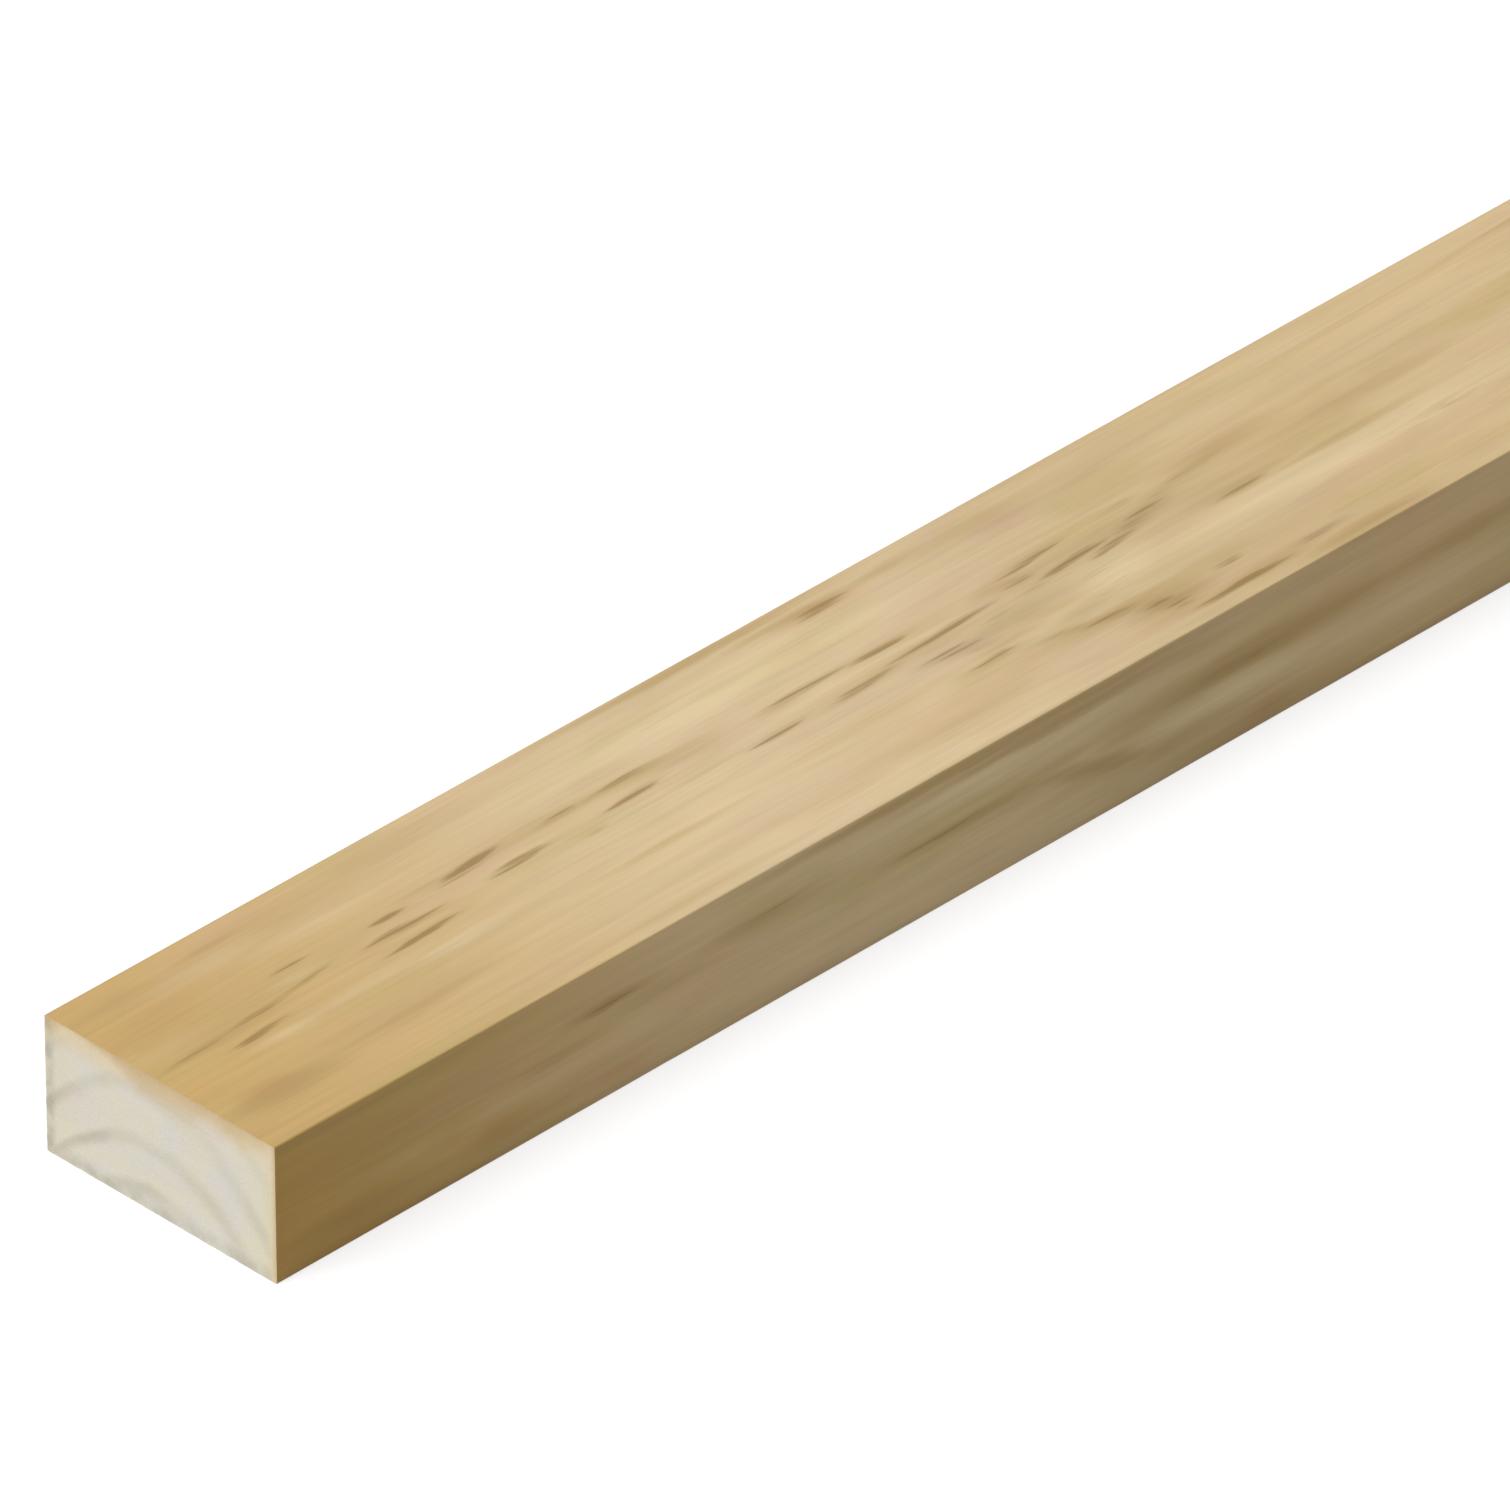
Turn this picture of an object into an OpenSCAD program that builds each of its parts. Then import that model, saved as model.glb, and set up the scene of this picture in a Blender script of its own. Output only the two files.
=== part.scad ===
// Timber plank: one stick of planed softwood with eased long edges and square saw-cut ends.
// It lies on a wide face. Its length runs along X, its width along Y and its thickness up Z,
// and the origin is the middle of its underside.

/* [Section] */
// Width of the two wide faces
plank_width = 90; // [35:1:290]
// Thickness between the two wide faces
plank_thickness = 45; // [18:1:90]
// Radius that eases each of the four long edges
edge_radius = 0.5; // [0.2:0.1:6]

/* [Length] */
// Distance between the two saw-cut ends
plank_length = 1200; // [600:10:6000]

/* [Hidden] */

// Tan of the planed faces
timber_colour = "burlywood";
// Sides of a full circle in the eased edges
edge_segments = 48;
// Distance of the centres of the eased edges from the section's middle
edge_offset = [plank_width / 2 - edge_radius, plank_thickness / 2 - edge_radius];

// Rectangle with rounded corners, centred on the middle of the section
module eased_section() {
    square([plank_width, 2 * edge_offset.y], center = true);
    square([2 * edge_offset.x, plank_thickness], center = true);
    for (across = [-1, 1], up = [-1, 1])
        translate([across * edge_offset.x, up * edge_offset.y])
            circle(r = edge_radius, $fn = edge_segments);
}

// The section run along X between the two cut ends, with its underside at zero height
module plank() {
    color(timber_colour)
        translate([0, 0, plank_thickness / 2])
            rotate([90, 0, 90])
                linear_extrude(height = plank_length, center = true)
                    eased_section();
}

plank();
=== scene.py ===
"""Dresses the timber plank: one stick of planed softwood with pale saw-cut ends, on a white studio floor.

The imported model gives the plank's box and place. A finely divided solid stands for it here, with its grain
raised a little and its arrises worn. One field of growth rings draws both finishes and the raised grain, so
the arches on the ends run on into the flames and bands of the faces.
"""

import logging
import math
from collections.abc import Sequence
from dataclasses import dataclass
from enum import Enum
from functools import reduce

import bpy
import numpy as np
from mathutils import Color, Matrix, Vector


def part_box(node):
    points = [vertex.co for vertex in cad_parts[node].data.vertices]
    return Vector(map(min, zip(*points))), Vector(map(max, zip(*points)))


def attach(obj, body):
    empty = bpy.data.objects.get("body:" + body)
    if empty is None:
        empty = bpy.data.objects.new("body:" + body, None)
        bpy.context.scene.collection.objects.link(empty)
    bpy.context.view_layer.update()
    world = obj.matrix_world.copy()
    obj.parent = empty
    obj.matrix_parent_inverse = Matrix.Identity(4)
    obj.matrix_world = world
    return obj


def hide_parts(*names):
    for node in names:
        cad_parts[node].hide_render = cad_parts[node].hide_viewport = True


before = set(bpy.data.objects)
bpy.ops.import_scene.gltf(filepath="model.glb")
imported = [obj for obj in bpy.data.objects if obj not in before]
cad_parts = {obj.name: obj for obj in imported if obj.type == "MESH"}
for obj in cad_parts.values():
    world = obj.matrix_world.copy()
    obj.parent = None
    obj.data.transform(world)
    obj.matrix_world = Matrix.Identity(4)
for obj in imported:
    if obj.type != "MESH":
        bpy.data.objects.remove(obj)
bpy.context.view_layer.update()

LOG = logging.getLogger("timber_plank")

# One millimetre in the scene's metres, and how many make a metre
MM = 0.001
PER_METRE = 1000.0
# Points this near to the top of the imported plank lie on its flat
FLATNESS = 0.01 * MM
# Middle of what runs from 0 to 1, such as a noise
MIDDLE = 0.5
# The highest level of a screen's red, green or blue
SCREEN_TOP = 255
# Shares of a mark's reach within which it is full and at which it has faded to nothing
FLECK_FADE = (0.25, 1.4)
STAIN_FADE = (0.0, 1.7)

Triple = tuple[float, float, float]
Colour = tuple[float, float, float, float]
CurvePoints = tuple[tuple[float, float], ...]
Corners = Sequence[int]


def shade(red: int, green: int, blue: int) -> Colour:
    """Turns a colour as a screen shows it, in levels, into the linear colour that a shader takes."""
    screen = Color((red / SCREEN_TOP, green / SCREEN_TOP, blue / SCREEN_TOP))
    return (*screen.from_srgb_to_scene_linear(), 1.0)


def grey(level: float) -> Colour:
    """Gives an opaque linear grey."""
    return (level, level, level, 1.0)


# Nodes


@dataclass(frozen=True)
class Signal:
    """A number, place or colour that varies over the timber: a node's output, which its methods work on."""

    pen: "NodePen"
    socket: bpy.types.NodeSocket

    def __add__(self, other: "Term") -> "Signal":
        """Adds another number."""
        return self.pen.math("ADD", self, other)

    def __sub__(self, other: "Term") -> "Signal":
        """Takes another number away."""
        return self.pen.math("SUBTRACT", self, other)

    def __rsub__(self, other: float) -> "Signal":
        """Takes this away from a plain number."""
        return self.pen.math("SUBTRACT", other, self)

    def __mul__(self, other: "Term") -> "Signal":
        """Multiplies by another number."""
        return self.pen.math("MULTIPLY", self, other)

    def __truediv__(self, other: "Term") -> "Signal":
        """Divides by another number."""
        return self.pen.math("DIVIDE", self, other)

    def larger(self, other: "Term") -> "Signal":
        """Keeps the larger of two numbers."""
        return self.pen.math("MAXIMUM", self, other)

    def smaller(self, other: "Term") -> "Signal":
        """Keeps the smaller of two numbers."""
        return self.pen.math("MINIMUM", self, other)

    def nearer(self, span: float) -> "Signal":
        """Turns a distance from one side of a span into that from its nearer side."""
        return self.smaller(span - self)

    def centred(self) -> "Signal":
        """Moves a noise's middle to zero."""
        return self - MIDDLE

    def moved(self, stretch: "Term", shift: "Term") -> "Signal":
        """Stretches a place and then shifts it."""
        return self.pen.vector("MULTIPLY_ADD", self, stretch, shift)

    def length(self) -> "Signal":
        """Measures how far a place is from the origin."""
        return self.pen.vector("LENGTH", self)

    def parts(self) -> tuple["Signal", ...]:
        """Splits a place into its distances along, across and up."""
        split = self.pen.node("ShaderNodeSeparateXYZ", {0: self})
        return tuple(Signal(self.pen, socket) for socket in split.outputs)

    def ramp(self, start: "Term", end: "Term", low: float = 0.0, high: float = 1.0) -> "Signal":
        """Turns smoothly from low, before start, to high, past end."""
        inputs = dict(enumerate((self, start, end, low, high)))
        return self.pen.signal("ShaderNodeMapRange", inputs, interpolation_type="SMOOTHSTEP")

    def curve(self, points: CurvePoints) -> "Signal":
        """Reads a smooth curve at this share.

        Args:
            points: The curve's places, from 0 to 1, and heights of any size.

        Returns:
            The curve's height.
        """
        lowest = min(height for _, height in points)
        span = max(height for _, height in points) - lowest
        drawn = self.pen.node("ShaderNodeFloatCurve", {"Value": self})
        line = drawn.mapping.curves[0]
        while len(line.points) < len(points):
            line.points.new(0, 0)
        for point, (place, height) in zip(line.points, points):
            point.location = (place, (height - lowest) / span)
        drawn.mapping.update()
        return Signal(self.pen, drawn.outputs[0]) * span + lowest

    def mix(self, under: "Term", over: "Term") -> "Signal":
        """Lays one colour over another, as much as this share says.

        Args:
            under: The lower colour.
            over: The upper colour.

        Returns:
            The mixed colour.
        """
        mixer = self.pen.node("ShaderNodeMix", {}, data_type="RGBA")
        ends = {socket.identifier: socket for socket in (*mixer.inputs, *mixer.outputs)}
        for name, term in (("Factor_Float", self), ("A_Color", under), ("B_Color", over)):
            self.pen.feed(ends[name], term)
        return Signal(self.pen, ends["Result_Color"])

    def coated(self, *coats: tuple["Signal", "Term"]) -> "Signal":
        """Lays colours over this one in turn, each as much as the share before it says."""
        return reduce(lambda ground, coat: coat[0].mix(ground, coat[1]), coats, self)

    def tinted(self, tint: "Term") -> "Signal":
        """Multiplies a colour by another one, or by a number."""
        return self.pen.vector("MULTIPLY", self, tint)


Term = Signal | float | Triple | Colour
Inputs = dict[str | int, Term]


@dataclass(frozen=True)
class NodePen:
    """Draws nodes in one tree, of a material, a world or a shape, and joins them."""

    tree: bpy.types.NodeTree

    @classmethod
    def clean(cls, owner: bpy.types.Material | bpy.types.World) -> "NodePen":
        """Clears a material's or a world's tree and takes it.

        Args:
            owner: The material or the world.

        Returns:
            The tree's pen.
        """
        owner.use_nodes = True
        owner.node_tree.nodes.clear()
        return cls(owner.node_tree)

    def feed(self, socket: bpy.types.NodeSocket, term: Term) -> None:
        """Joins a signal to an input, or writes a plain value on it.

        Args:
            socket: The input.
            term: What goes in.
        """
        if isinstance(term, Signal):
            self.tree.links.new(term.socket, socket)
        else:
            socket.default_value = term

    def node(self, kind: str, inputs: Inputs, **settings: str) -> bpy.types.Node:
        """Adds one node.

        Args:
            kind: The node's type.
            inputs: What goes into it, by the input's name or number.
            **settings: The node's properties by name.

        Returns:
            The new node.
        """
        added = self.tree.nodes.new(kind)
        for name, value in settings.items():
            setattr(added, name, value)
        for name, term in inputs.items():
            self.feed(added.inputs[name], term)
        return added

    def signal(self, kind: str, inputs: Inputs, output: str | int = 0, **settings: str) -> Signal:
        """Adds one node and reads one of its outputs."""
        return Signal(self, self.node(kind, inputs, **settings).outputs[output])

    def math(self, operation: str, *terms: Term) -> Signal:
        """Works out a sum, a product or a like operation on numbers."""
        return self.signal("ShaderNodeMath", dict(enumerate(terms)), operation=operation)

    def vector(self, operation: str, *terms: Term) -> Signal:
        """Works out an operation on places or colours, which gives a number for a length."""
        output = "Value" if operation == "LENGTH" else "Vector"
        return self.signal("ShaderNodeVectorMath", dict(enumerate(terms)), output, operation=operation)


@dataclass(frozen=True)
class Turn:
    """A smooth turn from low, before its start, to high, past its end."""

    start: float
    end: float
    low: float = 0.0
    high: float = 1.0

    def lay(self, value: Signal) -> Signal:
        """Reads the turn at a value."""
        return value.ramp(self.start, self.end, self.low, self.high)


@dataclass(frozen=True)
class Noise:
    """A smooth random pattern from 0 to 1, about a half. Lengths are mm."""

    # Size of a lump along, across and up
    lump: Triple
    # A shift that makes one noise unlike another
    seed: float
    # How many finer noises are added
    detail: float = 2.0

    def lay(self, place: Signal, output: str = "Fac") -> Signal:
        """Draws the pattern.

        Args:
            place: Where it is read.
            output: One pattern, or as a colour three at once.

        Returns:
            The pattern.
        """
        spot = place.moved(tuple(1 / size for size in self.lump), (self.seed,) * 3)
        inputs = {"Vector": spot, "Scale": 1.0, "Detail": self.detail}
        return place.pen.signal("ShaderNodeTexNoise", inputs, output)


@dataclass(frozen=True)
class Patches:
    """A noise that a turn sharpens into patches."""

    noise: Noise
    turn: Turn

    def lay(self, place: Signal) -> Signal:
        """Draws the patches."""
        return self.turn.lay(self.noise.lay(place))


@dataclass(frozen=True)
class Waver:
    """A random push. Lengths are mm."""

    noise: Noise
    # How far a place is pushed along, across and up, from one limit to the other
    reach: Triple

    def lay(self, place: Signal) -> Signal:
        """Pushes a place about."""
        centred = place.pen.vector("SUBTRACT", self.noise.lay(place, "Color"), (MIDDLE,) * 3)
        return centred.moved(self.reach, place)


# Stock and marks


@dataclass(frozen=True)
class Stock:
    """The plank as packed: its box and the radius of its eased long edges, in metres."""

    low: Vector
    high: Vector
    edge_radius: float

    @classmethod
    def measured(cls, node: str) -> "Stock":
        """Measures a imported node.

        Args:
            node: The node's name.

        Returns:
            Its box and its radius: how far the flat of its upper side stops short of its edges.
        """
        low, high = (Vector(corner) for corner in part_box(node))
        points = [point.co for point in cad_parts[node].data.vertices]
        flat_reach = max(point.y for point in points if high.z - point.z < FLATNESS)
        return cls(low, high, high.y - flat_reach)

    @property
    def size(self) -> Vector:
        """Length, width and thickness."""
        return self.high - self.low

    @property
    def size_mm(self) -> Vector:
        """Length, width and thickness in mm."""
        return self.size * PER_METRE

    @property
    def flat_reach(self) -> float:
        """Half the flat of a wide face."""
        return self.size.y / 2 - self.edge_radius

    @property
    def flat_heights(self) -> tuple[float, float]:
        """Heights above the underside at which the flat of a narrow face starts and ends."""
        return (self.edge_radius, self.size.z - self.edge_radius)

    def place(self, position: Signal) -> Signal:
        """Turns a position in metres into mm from the near end, the back edge and the underside."""
        shift = (-self.low.x * PER_METRE, self.high.y * PER_METRE, -self.low.z * PER_METRE)
        return position.moved((PER_METRE, -PER_METRE, PER_METRE), shift)


class Face(Enum):
    """A face that carries placed marks."""

    TOP = "top"
    FRONT = "front"

    def spot(self, along: float, aside: float, size: Vector) -> Triple:
        """Gives a place on the face, from the near end, the back edge and the underside."""
        return (along, aside, size.z) if self is Face.TOP else (along, size.y, aside)

    def step(self, aside: float) -> Triple:
        """Gives a step aside on the face."""
        return (0.0, aside, 0.0) if self is Face.TOP else (0.0, 0.0, aside)


class Stain(Enum):
    """What colours a mark."""

    FLECK = "fleck"
    SHADE = "shade"
    PALE = "pale"
    OCHRE = "ochre"
    ROSE = "rose"

    @property
    def fade(self) -> tuple[float, float]:
        """How a mark of this stain fades: a fleck holds its edge for longer."""
        return FLECK_FADE if self is Stain.FLECK else STAIN_FADE


@dataclass(frozen=True)
class Mark:
    """A lens of coloured wood that breaks a face. Lengths are mm."""

    # Distance of its middle from the near end
    along: float
    # Distance of its middle from the back edge, or on the front face from the underside
    aside: float
    length: float
    breadth: float
    strength: float
    # How far it runs aside for each mm along
    slant: float = 0.0


@dataclass(frozen=True)
class MarkGroup:
    """Marks of one stain on one face."""

    face: Face
    stain: Stain
    marks: tuple[Mark, ...]

    def lay(self, place: Signal, size: Vector) -> Signal:
        """Draws the marks.

        Args:
            place: Where they are read.
            size: The plank's length, width and thickness in mm.

        Returns:
            How strongly the strongest of them shows, from 0 to 1.
        """
        along = place.parts()[0]
        laid: list[Signal] = []
        for mark in self.marks:
            lean = self.face.step(-mark.slant)
            straight = along.moved(lean, place) if mark.slant else place
            middle = self.face.spot(mark.along, mark.aside, size)
            reach = (mark.length / 2, mark.breadth / 2, mark.breadth / 2)
            stretch = tuple(1 / half for half in reach)
            shift = tuple(-(spot + mark.along * turn) / half for spot, turn, half in zip(middle, lean, reach))
            distance = straight.moved(stretch, shift).length()
            laid.append(distance.ramp(*self.stain.fade, mark.strength, 0.0))
        return reduce(Signal.larger, laid)


MARKS = (
    # Short dark flecks down the middle of the top face
    MarkGroup(Face.TOP, Stain.FLECK, (
        Mark(16, 42.3, 34, 2.6, 0.55, -0.05),
        Mark(41, 40.8, 30, 2.8, 0.75, -0.08),
        Mark(59, 38.7, 28, 2.6, 0.72, -0.09),
        Mark(36, 48.2, 26, 3.2, 0.65, -0.06),
        Mark(62, 30.5, 14, 3.4, 0.35),
        Mark(97, 32.7, 18, 2.6, 0.65),
        Mark(98, 39.3, 32, 3, 0.8),
        Mark(99, 46, 36, 3, 0.8, -0.03),
        Mark(130, 30.5, 28, 4.8, 0.95, -0.05),
        Mark(115, 29.4, 22, 3.4, 0.4),
        Mark(144, 38.8, 28, 3.4, 0.8),
        Mark(167, 30.5, 18, 3, 0.6),
        Mark(166, 43, 12, 2.6, 0.35),
        Mark(188, 30.6, 36, 3.2, 0.7),
        Mark(187, 38, 28, 3.4, 0.7, -0.05),
        Mark(237, 45, 26, 3.6, 0.62, -0.03),
        Mark(256, 34.4, 42, 3.4, 0.65),
        Mark(270, 45, 36, 4, 0.68, -0.06),
        Mark(284, 35.2, 26, 3, 0.6),
        Mark(302, 41.8, 52, 3, 0.62, -0.05),
        # Two nearer to the back edge
        Mark(52, 8.4, 26, 3.6, 0.4),
        Mark(288, 8.5, 22, 6, 0.42),
        # They part round a pale island: the branch towards the back edge
        Mark(335, 38.5, 18, 4, 0.55),
        Mark(346, 33, 38, 3.2, 0.65, -0.06),
        Mark(356, 41.8, 32, 3.6, 0.8, -0.04),
        Mark(382, 31.5, 16, 3, 0.5),
        Mark(384, 39.8, 30, 7.5, 0.62, -0.18),
        Mark(372, 43.8, 30, 3.4, 0.6, -0.1),
        Mark(406, 33.6, 36, 4, 0.44, -0.1),
        Mark(412, 49.5, 24, 4, 0.5),
        # The branch towards the front edge
        Mark(300, 51, 32, 4.4, 0.66, 0.08),
        Mark(307, 54.2, 16, 3, 0.5, 0.05),
        Mark(304, 61.3, 28, 4, 0.62),
        Mark(328, 66, 26, 3.6, 0.6, 0.12),
        Mark(344, 69.5, 30, 4, 0.5, 0.14),
        Mark(357, 75, 18, 8, 0.54, 0.35),
        Mark(380, 83.5, 42, 3.4, 0.85),
        Mark(385, 73, 14, 4, 0.32),
        Mark(414, 81, 22, 3, 0.75),
    )),
    # Soft darker bands round the flecks and along the edges
    MarkGroup(Face.TOP, Stain.SHADE, (
        Mark(26, 42, 60, 7, 0.55),
        Mark(75, 69.5, 80, 7, 0.55),
        Mark(14, 9, 40, 8, 0.5),
        Mark(23, 72, 46, 12, 0.8),
        Mark(102, 42, 50, 14, 0.4),
        Mark(156, 30, 70, 9, 0.5),
        Mark(200, 33, 60, 9, 0.45),
        Mark(180, 61, 60, 4, 0.45),
        Mark(160, 85, 120, 6, 0.4),
        Mark(245, 2, 140, 6, 0.8),
        Mark(274, 6.5, 60, 6, 0.6),
        Mark(352, 9, 100, 6, 0.4),
        Mark(280, 43, 130, 8, 0.5),
        Mark(290, 35, 90, 7, 0.55),
        Mark(300, 52, 50, 10, 0.35),
        Mark(264, 58, 90, 11, 0.45),
        Mark(326, 50, 40, 18, 0.5),
        Mark(328, 36, 34, 6, 0.6),
        Mark(337, 44, 22, 6, 0.55),
        Mark(338, 62, 26, 6, 0.5),
        Mark(438, 43, 110, 7, 0.45),
        Mark(478, 82, 50, 8, 0.45),
        Mark(248, 36, 30, 5, 0.45),
        Mark(215, 5.5, 50, 5, 0.4),
        Mark(313, 7.5, 40, 5, 0.5),
        Mark(185, 24.5, 40, 6, 0.45),
        Mark(313, 58, 36, 6, 0.55),
        Mark(233, 79.5, 40, 5, 0.4),
        Mark(456, 51, 70, 4, 0.55),
        Mark(362, 40, 100, 12, 0.45),
        Mark(344, 69, 70, 9, 0.65),
        Mark(359, 76, 40, 16, 0.8),
        Mark(384, 82.5, 70, 9, 0.6),
        Mark(428, 87, 56, 7, 0.85),
        Mark(425, 30, 50, 10, 0.55),
        Mark(418, 48.5, 48, 7, 0.5),
        Mark(468, 39, 90, 8, 0.65),
    )),
    # The island, paler wood, and thin painted highlights beside the flecks
    MarkGroup(Face.TOP, Stain.PALE, (
        Mark(361, 54, 31, 13.5, 1.0),
        Mark(436, 57.5, 140, 12, 0.8),
        Mark(296, 21, 56, 11, 0.7),
        Mark(225, 19, 120, 13, 0.6),
        Mark(82, 20, 50, 8, 0.35),
        Mark(432, 15, 60, 9, 0.4),
        Mark(463, 9.5, 50, 7, 0.4),
        Mark(105, 54.5, 40, 4, 0.6),
        Mark(42, 53, 24, 4, 0.5),
        Mark(72, 52, 44, 5, 0.4),
        Mark(48, 14, 44, 7, 0.4),
        Mark(195, 46, 64, 7, 0.4),
        Mark(402, 65, 70, 6, 0.4),
        # Thin painted highlights just beside flecks, where raised grain would catch the light
        Mark(62, 35.2, 20, 2.4, 0.4),
        Mark(100, 42.6, 26, 2, 0.5),
        Mark(190, 34.3, 30, 2.2, 0.5),
        Mark(188, 43, 26, 2.4, 0.5),
    )),
    # Warmer stains
    MarkGroup(Face.TOP, Stain.OCHRE, (
        Mark(288, 9, 30, 7, 0.6),
        Mark(18, 70, 22, 9, 1.0),
        Mark(20, 24, 30, 12, 0.25),
    )),
    MarkGroup(Face.TOP, Stain.ROSE, (
        Mark(354, 14, 22, 9, 0.8),
        Mark(292, 33, 18, 6, 0.4),
        Mark(330, 76, 60, 12, 0.35),
        Mark(302, 55, 36, 9, 0.25),
        Mark(278, 72, 100, 18, 0.5),
        Mark(376, 80, 64, 8, 0.45),
        Mark(424, 28, 34, 8, 0.4),
    )),
    # Long soft bands on the front face, and the few flecks in them
    MarkGroup(Face.FRONT, Stain.SHADE, (
        Mark(276, 42.6, 190, 5, 1.0),
        Mark(190, 28.8, 80, 9, 0.55),
        Mark(265, 23.5, 90, 5, 0.7),
        Mark(298, 39.6, 130, 6, 0.85),
        Mark(352, 38, 60, 6, 0.5),
        Mark(334, 23, 44, 6, 0.6),
        Mark(300, 26, 50, 6, 0.5),
        Mark(153, 25.4, 60, 7, 0.6),
        Mark(286, 20, 44, 6, 0.5),
        Mark(376, 26.2, 120, 10, 1.0),
        Mark(462, 26, 90, 9, 0.65),
        Mark(316, 17, 62, 7, 0.8, -0.22),
        Mark(346, 11, 56, 7, 0.65),
        Mark(128, 31, 50, 6, 0.6),
        Mark(108, 23, 50, 5, 0.6),
        Mark(380, 4.5, 80, 7, 0.55),
        Mark(40, 30, 100, 12, 0.4),
        Mark(30, 8, 70, 9, 0.6),
        Mark(52, 42, 140, 4.5, 0.6),
        Mark(90, 7, 60, 6, 0.4),
    )),
    MarkGroup(Face.FRONT, Stain.FLECK, (
        Mark(126, 30.5, 28, 4, 0.48),
        Mark(186, 31, 40, 4, 0.35),
        Mark(254, 24, 44, 3.4, 0.4),
        Mark(372, 25, 50, 5, 0.45),
    )),
    # Paler and warmer wood on the front face
    MarkGroup(Face.FRONT, Stain.PALE, (
        Mark(372, 17.2, 80, 6.6, 1.0),
        Mark(440, 15, 110, 9, 0.7),
        Mark(280, 35.5, 120, 7, 0.7),
        Mark(90, 17, 130, 6, 0.4),
    )),
    MarkGroup(Face.FRONT, Stain.OCHRE, (
        Mark(384, 5, 16, 7, 0.5),
        Mark(316, 17, 36, 8, 0.3),
        Mark(28, 12, 34, 10, 0.5),
        Mark(67, 17, 18, 7, 0.55),
        Mark(84, 10, 24, 8, 0.6),
        Mark(132, 6, 22, 6, 0.4),
    )),
)


# Grain


@dataclass(frozen=True)
class GrowthRings:
    """The yearly rings: arches on the ends, bands and flames on the faces. Lengths are mm."""

    # Distance of the arches' tops from the back edge
    crown_across: float = 41.8
    # How far an arch drops for each square mm away from its top
    arch_drop: float = 0.0138
    # Heights of the arches' tops at the near end, year by year
    tops: tuple[float, ...] = (-28.0, -9.0, 7.5, 22.8, 41.5, 59.5, 77.0, 94.0, 112.0)
    # How far the rings rise along the plank: share of its length, and mm
    rise: CurvePoints = (
        (0.0, 0.0), (0.08, 2.0), (0.22, 2.5), (0.26, 3.5), (0.31, 6.0), (0.36, 12.0),
        (0.45, 13.0), (0.58, 8.0), (0.7, 1.0), (0.82, -5.0), (1.0, -6.0),
    )
    # How far their tops sway towards the front edge: share of the length, and mm
    sway: CurvePoints = (
        (0.0, 0.0), (0.2, 0.0), (0.28, 5.0), (0.36, 13.0), (0.5, 8.0), (0.68, -6.0), (0.85, -2.0), (1.0, 5.0),
    )
    # The slow and the quick wander of a ring, and how far each moves it
    slow: Noise = Noise((170.0, 24.0, 24.0), 3.1)
    slow_reach: float = 3.5
    quick: Noise = Noise((42.0, 6.0, 6.0), 8.7, 3.0)
    quick_reach: float = 1.8

    def lay(self, place: Signal, share: Signal) -> tuple[Signal, Signal]:
        """Draws the rings.

        Args:
            place: Where they are read.
            share: How far along that is, as a share of the plank's length.

        Returns:
            How far the nearest year's end is, as a share of a ring, below 0 before it and above 0 past it,
            and how far to the side the arches' tops are.
        """
        _, across, height = place.parts()
        aside = across - share.curve(self.sway) - self.crown_across
        arch = height - share.curve(self.rise) + aside * aside * self.arch_drop
        slow = self.slow.lay(place).centred() * self.slow_reach
        quick = self.quick.lay(place).centred() * self.quick_reach
        first = self.tops[0]
        span = self.tops[-1] - first
        years = tuple(((top - first) / span, year) for year, top in enumerate(self.tops))
        year = ((arch + slow + quick - first) / span).curve(years)
        return place.pen.math("FRACT", year + MIDDLE).centred(), place.pen.math("ABSOLUTE", aside)


@dataclass(frozen=True)
class Grain:
    """What the timber's growth draws, as signals of one tree."""

    # The plank's length, width and thickness in mm
    size: Vector
    # Where the grain is read, in mm from the near end, the back edge and the underside
    place: Signal
    along: Signal
    across: Signal
    height: Signal
    # How far along that is, as a share of the length
    share: Signal
    # How far the nearest year's end is, as a share of a ring, and how much late wood shows
    year_end: Signal
    late: Signal
    fibre: Signal
    stroke: Signal
    band: Signal
    cloud: Signal
    dash: Signal
    stains: dict[Stain, Signal]


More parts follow.
